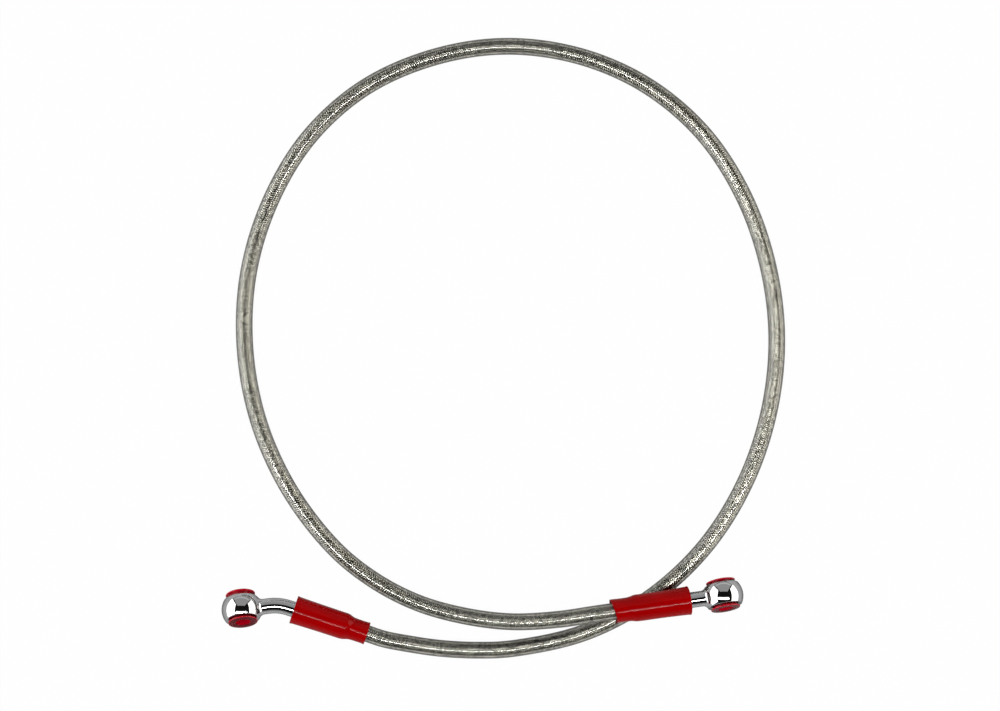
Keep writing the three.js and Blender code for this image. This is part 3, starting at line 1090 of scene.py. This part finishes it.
    def crease(self, tube: bpy.types.Object) -> None:
        """Gives the outer skin of a sleeve the slight unevenness of shrunk tube, most of it at the step."""
        s = self.sizes
        step = (s.sleeve_taper_start - s.crease_margin, s.sleeve_taper_end + s.crease_margin)
        whole = (s.crease_start, s.sleeve_end - s.crease_margin)
        bpy.ops.object.mode_set(mode="EDIT")
        for (low, high), crease in ((step, s.step_crease), (whole, s.skin_crease)):
            select_vertices(tube, lambda p: low < p.x < high and self.outer_skin(p))
            bpy.ops.transform.vertex_random(offset=crease.depth * MM, normal=1.0, seed=crease.seed)
            bpy.ops.mesh.vertices_smooth(factor=0.5, repeat=crease.rounds)
        bpy.ops.object.mode_set(mode="OBJECT")

    def slant(self, tube: bpy.types.Object) -> None:
        """Turns the last rings at the hose's end in stages, as on a sleeve that isn't cut square."""
        end = self.sizes.sleeve_end
        bpy.ops.object.mode_set(mode="EDIT")
        for before_end, share in self.sizes.slant_stages:
            select_vertices(tube, lambda p: p.x > end - before_end)
            turn = math.radians(self.placing.sleeve_slant * share)
            bpy.ops.transform.rotate(value=turn, orient_axis="Y", center_override=(end * MM, 0, 0))
        bpy.ops.object.mode_set(mode="OBJECT")

    def outer_skin(self, point: Vector) -> bool:
        """Whether a point of the sleeve's mesh lies on its outer skin."""
        s = self.sizes
        share = (point.x - s.sleeve_taper_start) / (s.sleeve_taper_end - s.sleeve_taper_start)
        narrowing = (self.placing.sleeve_grip - s.sleeve_wide) * soft_step(min(1.0, max(0.0, share)))
        return math.hypot(point.y, point.z) > s.sleeve_wide + narrowing - s.sleeve_wall / 2

    def plug(self, upper: bool, wall: bpy.types.Material, face: bpy.types.Material) -> bpy.types.Object:
        """A push-in plug: flange, tapered stem and hollow, open outwards.

        Args:
            upper: Whether it is the one that faces up.
            wall: Lighter copy of the red finish, painted light, for its walls and hollow.
            face: Darker copy of the red finish, painted shade, for the ring round the hollow.

        Returns:
            The object.
        """
        s, end = self.sizes, self.placing
        word, lift = ("upper", end.upper_plug_lift) if upper else ("lower", end.lower_plug_lift)
        seat = s.half_eye + s.fit_clearance + lift
        top = seat + s.flange_thickness
        tip = seat - s.plug_depth
        floor = tip + s.plug_floor
        rim, curve = s.flange_radius, s.flange_round
        stem = s.plug_mouth - s.plug_taper
        hollow = s.recess_radius - s.plug_taper
        inner, inner_foot, outer_foot, outer = (s.recess_radius + reach for reach in s.face_groove)
        rows = [
            (tip, stem - s.plug_tip),
            (tip + s.plug_tip, stem),
            (seat, s.plug_mouth),
            (seat, rim - s.flange_chamfer),
            (seat + s.flange_chamfer, rim),
            *arc_rows((top - curve, rim - curve), curve, 90, 0, s.flange_round_steps),
            (top, outer),
            (top - s.face_groove_depth, outer_foot),
            (top - s.face_groove_depth, inner_foot),
            (top, inner),
            (top, s.recess_radius + s.recess_chamfer),
            (top - s.recess_chamfer, s.recess_radius),
            (floor + s.floor_round, hollow),
            (floor, hollow - s.floor_round),
        ]
        cup = turned(f"{end.prefix}_{word}_cap", rows, s.plug_sides, ALONG_BORE, fill=True)
        cup.data.materials.append(wall)
        cup.data.materials.append(face)
        self.mark_shaded_face(cup, top)
        smooth(cup, degrees=40)
        turn = Matrix.Identity(4) if upper else Matrix.Rotation(math.pi, 4, "X")
        self.settle(cup, self.eye_matrix() @ self.eye_turn() @ turn)
        return cup

    def mark_shaded_face(self, cup: bpy.types.Object, top: float) -> None:
        """Gives the ring round a plug's hollow the second finish, the darker copy of the red that paints
        shade on the face.

        Args:
            cup: The plug, before it is settled.
            top: Place of its face along the bore.
        """
        s = self.sizes
        for polygon in cup.data.polygons:
            centre = polygon.center / MM
            on_top = centre.z > top - s.recess_chamfer
            if on_top and s.recess_radius < centre.xy.length < s.flange_radius - s.flange_round:
                polygon.material_index = 1

    def build(
        self, chrome: bpy.types.Material, wall: bpy.types.Material, face: bpy.types.Material
    ) -> None:
        """Makes and dresses every piece of this end.

        Args:
            chrome: Finish of the fitting.
            wall: Lighter copy of the plugs' red finish, painted light, for their walls and hollows.
            face: Darker copy of the plugs' red finish, painted shade, for the ring round each hollow.
        """
        prefix = self.placing.prefix
        turn = (0.0, 0.0, -math.radians(self.placing.heading))
        fitting = self.fitting()
        dress(fitting, Slot.FITTING, chrome, f"{prefix}_banjo_fitting")
        ferrule = self.ferrule()
        dress(ferrule, Slot.FERRULE, BrushedSteel(turn).build(), f"{prefix}_end_ferrule")
        sleeve = self.sleeve()
        dress(sleeve, Slot.SHRINK, ShrinkTube(turn).build(), f"{prefix}_end_sleeve")
        upper = self.plug(True, wall, face)
        dress(upper, Slot.PLUG, wall, f"{prefix}_end_upper_plug")
        lower = self.plug(False, wall, face)
        dress(lower, Slot.PLUG, wall, f"{prefix}_end_lower_plug")
        self.pieces += [fitting, ferrule, sleeve, upper, lower]


def read_off(at: np.ndarray, places: np.ndarray, table: np.ndarray) -> np.ndarray:
    """Rows of a table, read off between its own.

    Args:
        at: Distances at which rows are wanted.
        places: Distance of each row of the table.
        table: Points or directions, one row each.

    Returns:
        One row for each distance.
    """
    return np.stack([np.interp(at, places, table[:, axis]) for axis in range(3)], axis=1)


@dataclass
class HoseRun:
    """The hose: white liner, two families of braid strands, and a clear jacket, on one free line."""

    start_end: BanjoEnd
    far_end: BanjoEnd
    route: list
    liner_bore: float = 1.6
    liner_radius: float = 2.3
    liner_sides: int = 16
    braid_middle: float = 2.74
    braid_swing: float = 0.17
    braid_sharpness: float = 1.5
    jacket_bore: float = 3.1
    jacket_radius: float = 3.75
    jacket_sides: int = 28
    hose_start: float = 4.5
    run_out: float = 8
    carriers: int = 12
    steps_each_carrier: int = 4
    lay_length: float = 11.8
    strand_width: float = 0.76
    chords: int = 16
    rings: int = 420
    real_length: float = 0.954
    layers: list = field(default_factory=list)
    length: float = field(init=False)
    at: np.ndarray = field(init=False)
    middle: np.ndarray = field(init=False)
    side: np.ndarray = field(init=False)
    up: np.ndarray = field(init=False)

    def __post_init__(self) -> None:
        """Lays out the middle line, evenly spaced, with a frame that keeps its up side up."""
        sleeve_end = self.start_end.sizes.sleeve_end
        free = [self.start_end.along(sleeve_end), self.start_end.along(sleeve_end + self.run_out)]
        free += [Vector((x, y, self.jacket_radius + rise)) for x, y, rise in self.route]
        free += [self.far_end.along(sleeve_end + self.run_out), self.far_end.along(sleeve_end)]
        line = [self.start_end.along(self.hose_start)]
        line += self.smooth_line(free, self.chords)
        line.append(self.far_end.along(self.hose_start))
        points = np.array([tuple(p) for p in line])
        steps = np.linalg.norm(np.diff(points, axis=0), axis=1)
        reach = np.concatenate([[0], np.cumsum(steps)])
        self.length = float(reach[-1])
        self.at = np.linspace(0, self.length, self.rings)
        self.middle = read_off(self.at, reach, points)
        tangent = np.gradient(self.middle, axis=0)
        tangent /= np.linalg.norm(tangent, axis=1)[:, None]
        side = np.cross(tangent, (0, 0, 1))
        side /= np.linalg.norm(side, axis=1)[:, None]
        self.side = side
        self.up = np.cross(side, tangent)

    @staticmethod
    def smooth_line(points: list, steps: int) -> list:
        """A centripetal Catmull-Rom line through points.

        Args:
            points: The points that it goes through.
            steps: Short chords between each two of them.

        Returns:
            Points along the line, the first and last of points included.
        """
        ends = [points[0] * 2 - points[1], *points, points[-1] * 2 - points[-2]]
        line = []
        for before, first, second, after in zip(ends, ends[1:], ends[2:], ends[3:]):
            pairs = ((before, first), (first, second), (second, after))
            d0, d1, d2 = (math.sqrt((b - a).length) for a, b in pairs)
            leave = ((first - before) / d0 - (second - before) / (d0 + d1) + (second - first) / d1) * d1
            arrive = ((second - first) / d1 - (after - first) / (d1 + d2) + (after - second) / d2) * d1
            for step in range(steps):
                t = step / steps
                square = first * -3 + second * 3 - leave * 2 - arrive
                cube = first * 2 - second * 2 + leave + arrive
                line.append(first + leave * t + square * t**2 + cube * t**3)
        line.append(points[-1])
        return line

    def surface(self, at: np.ndarray, angle: np.ndarray, radius: np.ndarray) -> np.ndarray:
        """Points round the middle line, in metres.

        Args:
            at: Distances along the line.
            angle: Angles from the up side, in radians.
            radius: Distances from the line.

        Returns:
            One row for each point.
        """
        clipped = np.clip(at, 0, self.length)
        tables = (self.middle, self.up, self.side)
        middle, up, side = (read_off(clipped, self.at, table) for table in tables)
        out = up * np.cos(angle)[:, None] + side * np.sin(angle)[:, None]
        return (middle + out * radius[:, None]) * MM

    @staticmethod
    def mesh_object(name: str, points: np.ndarray, quads: np.ndarray) -> bpy.types.Object:
        """A smooth-shaded object.

        Args:
            name: Its name.
            points: Its vertices, in metres.
            quads: Four vertex numbers for each face.

        Returns:
            The object, linked to the scene.
        """
        mesh = bpy.data.meshes.new(name)
        mesh.vertices.add(len(points))
        mesh.vertices.foreach_set("co", points.astype(np.float32).ravel())
        mesh.loops.add(len(quads) * 4)
        mesh.loops.foreach_set("vertex_index", quads.astype(np.int32).ravel())
        mesh.polygons.add(len(quads))
        mesh.polygons.foreach_set("loop_start", np.arange(0, len(quads) * 4, 4, dtype=np.int32))
        mesh.update(calc_edges=True)
        mesh.validate()
        mesh.polygons.foreach_set("use_smooth", np.ones(len(mesh.polygons), dtype=bool))
        obj = bpy.data.objects.new(name, mesh)
        bpy.context.scene.collection.objects.link(obj)
        return obj

    def tube(self, name: str, bore: float, radius: float, sides: int) -> bpy.types.Object:
        """A tube with both its walls and closed end rings.

        Args:
            name: Name of the object.
            bore: Inner radius.
            radius: Outer radius.
            sides: Number of facets round it.

        Returns:
            The object.
        """
        count = len(self.at)
        at = np.repeat(self.at, sides)
        angle = np.tile(np.linspace(0, 2 * math.pi, sides, endpoint=False), count)
        walls = [self.surface(at, angle, np.full(len(at), wall)) for wall in (radius, bore)]
        here = np.arange(sides)
        after = (here + 1) % sides
        ring = np.arange(count - 1)[:, None] * sides
        corners = [ring + here, ring + after, ring + sides + after, ring + sides + here]
        outer = np.stack(corners, axis=2).reshape(-1, 4)
        shift = count * sides
        inner = outer[:, ::-1] + shift
        last = (count - 1) * sides
        start_cap = np.stack([here, here + shift, after + shift, after], axis=1)
        end_cap = last + np.stack([after, after + shift, here + shift, here], axis=1)
        quads = np.concatenate([outer, inner, start_cap, end_cap])
        return self.mesh_object(name, np.concatenate(walls), quads)

    def strands(self, name: str, lay: Lay) -> bpy.types.Object:
        """One family of flat braid strands, woven over two and under two of the other family.

        Args:
            name: Name of the object.
            lay: Which way they wind.

        Returns:
            The object, with a UV map along and across each strand.
        """
        hand = lay.value
        steps_each_turn = self.steps_each_carrier * self.carriers
        stations = int(self.length / self.lay_length * steps_each_turn)
        at = np.linspace(0, self.length, stations)
        slope = math.atan2(2 * math.pi * self.braid_middle, self.lay_length)
        half = self.strand_width / 2
        points, quads, weave = [], [], []
        for strand in range(self.carriers):
            angle = hand * 2 * math.pi * at / self.lay_length + 2 * math.pi * strand / self.carriers
            wave = hand * np.cos((angle - math.pi / (2 * self.carriers)) * self.carriers / 2)
            radius = self.braid_middle + self.braid_swing * np.clip(self.braid_sharpness * wave, -1, 1)
            base = strand * 2 * stations
            for edge in (-1, 1):
                shifted = angle + edge * half * math.cos(slope) / self.braid_middle
                moved = at - edge * hand * half * math.sin(slope)
                points.append(self.surface(moved, shifted, radius))
            low = base + np.arange(stations - 1)
            high = low + stations
            quads.append(np.stack([low, high, high + 1, low + 1], axis=1))
            along = at / math.cos(slope)
            corners = np.stack([along[:-1], along[:-1], along[1:], along[1:]], axis=1)
            across = np.tile([0.0, 1.0, 1.0, 0.0], (stations - 1, 1))
            weave.append(np.stack([corners, across], axis=2).reshape(-1, 2))
        obj = self.mesh_object(name, np.concatenate(points), np.concatenate(quads))
        layer = obj.data.uv_layers.new(name=WEAVE_MAP)
        layer.data.foreach_set("uv", np.concatenate(weave).astype(np.float32).ravel())
        return obj

    def build(self) -> bpy.types.Object:
        """Makes and dresses the layers.

        Returns:
            The jacket.
        """
        jacket = self.tube("jacket_tube", self.jacket_bore, self.jacket_radius, self.jacket_sides)
        dress(jacket, Slot.JACKET, ClearJacket().build(), "jacket")
        liner = self.tube("liner_tube", self.liner_bore, self.liner_radius, self.liner_sides)
        dress(liner, Slot.LINER, WhiteLiner().build(), "liner")
        wire = BraidWire().build()
        right = self.strands("braid_right_strands", Lay.RIGHT)
        dress(right, Slot.BRAID, wire, "braid")
        left = self.strands("braid_left_strands", Lay.LEFT)
        dress(left, Slot.BRAID, wire, "braid")
        self.layers = [liner, right, left]
        return jacket

    def declare(self) -> None:
        LOG.info("middle line: %.1f mm", self.length)


# What stands round the object


# Watts for each square metre of a lamp at which its face looks white
WATTS_FOR_WHITE = 4.0


@dataclass(frozen=True)
class Softbox:
    """A flat lamp: where it stands, what it faces, its size in metres and how bright it looks."""

    name: str
    place: Triple
    target: Triple
    width: float
    height: float
    brightness: float
    colour: Triple = (1.0, 1.0, 1.0)

    def build(self) -> None:
        """Adds the lamp; the camera doesn't see it, and metal does."""
        lamp = bpy.data.lights.new(self.name, "AREA")
        lamp.shape = "RECTANGLE"
        lamp.size = self.width
        lamp.size_y = self.height
        lamp.energy = self.brightness * self.width * self.height * WATTS_FOR_WHITE
        lamp.color = self.colour
        obj = bpy.data.objects.new(self.name, lamp)
        obj.location = self.place
        facing = Vector(self.target) - Vector(self.place)
        obj.rotation_euler = facing.to_track_quat("-Z", "Y").to_euler()
        obj.visible_camera = False
        bpy.context.scene.collection.objects.link(obj)


@dataclass
class Studio:
    """Camera, floor and soft lamps, with their sizes in metres and the sensor's in millimetres."""

    camera_place: Triple = (-0.00133, -0.00333, 1.05)
    seen_width: float = 0.4445
    seen_height: float = 0.00375
    sensor: float = 36.0
    far_clip: float = 30
    floor_radius: float = 3.0
    floor_sides: int = 96
    floor_height: float = -0.0001
    wall_height: float = 0.8
    dark: float = 0.008
    boxes: tuple = (
        Softbox("left_softbox", (-1.5, 0.0, 1.0), (0.0, 0.0, 1.0), 3.0, 2.0, 1.95),
        Softbox("right_softbox", (1.5, 0.0, 0.7), (0.0, 0.0, 0.7), 3.0, 1.4, 1.95, (1.0, 0.97, 0.9)),
        Softbox("back_card", (0.0, 1.6, 1.6), (0.0, 0.0, 1.6), 2.6, 3.0, 0.31),
        Softbox("front_card", (0.0, -1.6, 0.45), (0.0, 0.0, 0.45), 3.0, 0.9, 0.2),
        Softbox("strip", (0.0, -0.58, 2.0), (0.0, 0.0, 0.0), 2.6, 0.11, 24.0),
        Softbox("strip_edge", (0.0, -0.5, 2.05), (0.0, 0.0, 0.0), 2.4, 0.5, 2.2),
    )

    def camera(self) -> None:
        """The camera, straight above, at the photograph's framing."""
        lens = bpy.data.cameras.new("camera")
        lens.sensor_fit = "HORIZONTAL"
        lens.sensor_width = self.sensor
        lens.lens = self.sensor * (self.camera_place[2] - self.seen_height) / self.seen_width
        lens.clip_end = self.far_clip
        obj = bpy.data.objects.new("camera", lens)
        obj.location = self.camera_place
        bpy.context.scene.collection.objects.link(obj)
        bpy.context.scene.camera = obj

    def floor(self) -> None:
        """A round floor with a low wall, both pale."""
        deselect_everything()
        bpy.ops.mesh.primitive_circle_add(
            vertices=self.floor_sides,
            radius=self.floor_radius,
            fill_type="NGON",
            location=(0, 0, self.floor_height),
        )
        disc = bpy.context.object
        disc.name = "floor"
        bpy.ops.object.transform_apply(location=True, rotation=True, scale=True)
        bpy.ops.object.mode_set(mode="EDIT")
        bpy.ops.mesh.select_mode(type="EDGE")
        bpy.ops.mesh.select_all(action="SELECT")
        bpy.ops.mesh.extrude_edges_move(
            TRANSFORM_OT_translate={"value": (0, 0, self.wall_height), "orient_type": "GLOBAL"}
        )
        bpy.ops.object.mode_set(mode="OBJECT")
        disc.data.materials.append(PaleFloor().build())

    def light(self) -> None:
        """A dark room with its soft lamps."""
        world = bpy.context.scene.world or bpy.data.worlds.new("world")
        bpy.context.scene.world = world
        world.use_nodes = True
        background = world.node_tree.nodes["Background"]
        background.inputs["Color"].default_value = (self.dark, self.dark, self.dark, 1)
        background.inputs["Strength"].default_value = 1.0
        for box in self.boxes:
            box.build()

    def build(self) -> None:
        """Makes the whole set and the plain view settings."""
        bpy.context.scene.view_settings.view_transform = "Standard"
        self.camera()
        self.floor()
        self.light()


SIZES = BanjoSizes()
BENT = EndPlacing(
    prefix="bent",
    ball=(-115.5, -115.7),
    heading=-18.6,
    pitch=-3.5,
    roll=0,
    side=-1,
    eye_turn=-28.5,
    bend=26,
    neck_reach=16.4,
    sleeve_start=7,
    upper_plug_lift=0.6,
    lower_plug_lift=1.9,
    sleeve_spread=1.05,
    sleeve_mouth=0.25,
    sleeve_grip=4.69,
    sleeve_slant=0,
)
STRAIGHT = EndPlacing(
    prefix="straight",
    ball=(97.4, -109.5),
    heading=187.4,
    pitch=0,
    roll=22,
    side=1,
    eye_turn=-2.5,
    bend=0,
    neck_reach=12,
    sleeve_start=3.5,
    upper_plug_lift=0.6,
    lower_plug_lift=1.05,
    sleeve_spread=1.05,
    sleeve_mouth=0.3,
    sleeve_grip=5.03,
    sleeve_slant=11,
)
# The straight end's sleeve crosses the other run of hose, and clears it by a gap
CROSSING_REACH = 40
RUN_GAP = 0.7
CROSSING_SLEEVE = 5.65
CROSSING_FACETS = 24
SLEEVE_CORNERS = CROSSING_SLEEVE / math.cos(math.pi / CROSSING_FACETS)
CROSSING_HEIGHT = 2 * HoseRun.jacket_radius + RUN_GAP + SLEEVE_CORNERS

# Free route of the hose's middle line as x, y and the rise above where the hose lies on the floor
ROUTE = [
    (-43.3, -131.1, 1.2),
    (-28.1, -133.4, 0.45),
    (-11.6, -134.3, 0.1),
    (4.9, -133.5, 0),
    (37.0, -126.2, 0),
    (66.1, -110.5, 0),
    (90.2, -87.8, 0),
    (107.6, -59.8, 0),
    (118.2, -28.5, 0),
    (121.7, 4.2, 0),
    (117.7, 36.9, 0),
    (106.7, 68.1, 0),
    (88.6, 95.8, 0),
    (63.2, 117.1, 0),
    (33.0, 130.0, 0),
    (0.1, 134.1, 0),
    (-32.3, 128.8, 0),
    (-62.3, 115.2, 0),
    (-86.8, 93.0, 0),
    (-103.7, 64.5, 0),
    (-113.2, 33.0, 0),
    (-114.7, 0.1, 0),
    (-108.7, -32.4, 0),
    (-95.2, -62.6, 0),
    (-75.3, -88.7, 0),
    (-57.4, -103.2, 0),
    (-38.0, -113.2, 0.35),
    (-17.5, -118.8, 1.9),
    (3.4, -121.0, 5.7),
    (24.2, -119.5, 10.2),
]


def straight_placing() -> EndPlacing:
    """The straight end, climbing from its ball so that its sleeve clears the run that passes under it."""
    rest = SIZES.resting_height(math.sin(math.radians(STRAIGHT.roll)), STRAIGHT.lower_plug_lift)
    climb = math.degrees(math.atan2(CROSSING_HEIGHT - rest, CROSSING_REACH))
    return replace(STRAIGHT, pitch=climb)


def main() -> None:
    """Builds the set, the hose and its two ends, in that order."""
    logging.basicConfig(level=logging.INFO, format="%(name)s: %(message)s")
    Studio().build()
    bent = BanjoEnd(BENT)
    straight = BanjoEnd(straight_placing())
    hose = HoseRun(bent, straight, ROUTE)
    jacket = hose.build()
    chrome = Chrome().build()
    lit_plug_wall = PLUG_LIT_WALL.build()
    shaded_plug_face = PLUG_SHADED_FACE.build()
    bent.build(chrome, lit_plug_wall, shaded_plug_face)
    straight.build(chrome, lit_plug_wall, shaded_plug_face)
    hose.declare()


if __name__ == "__main__":
    main()
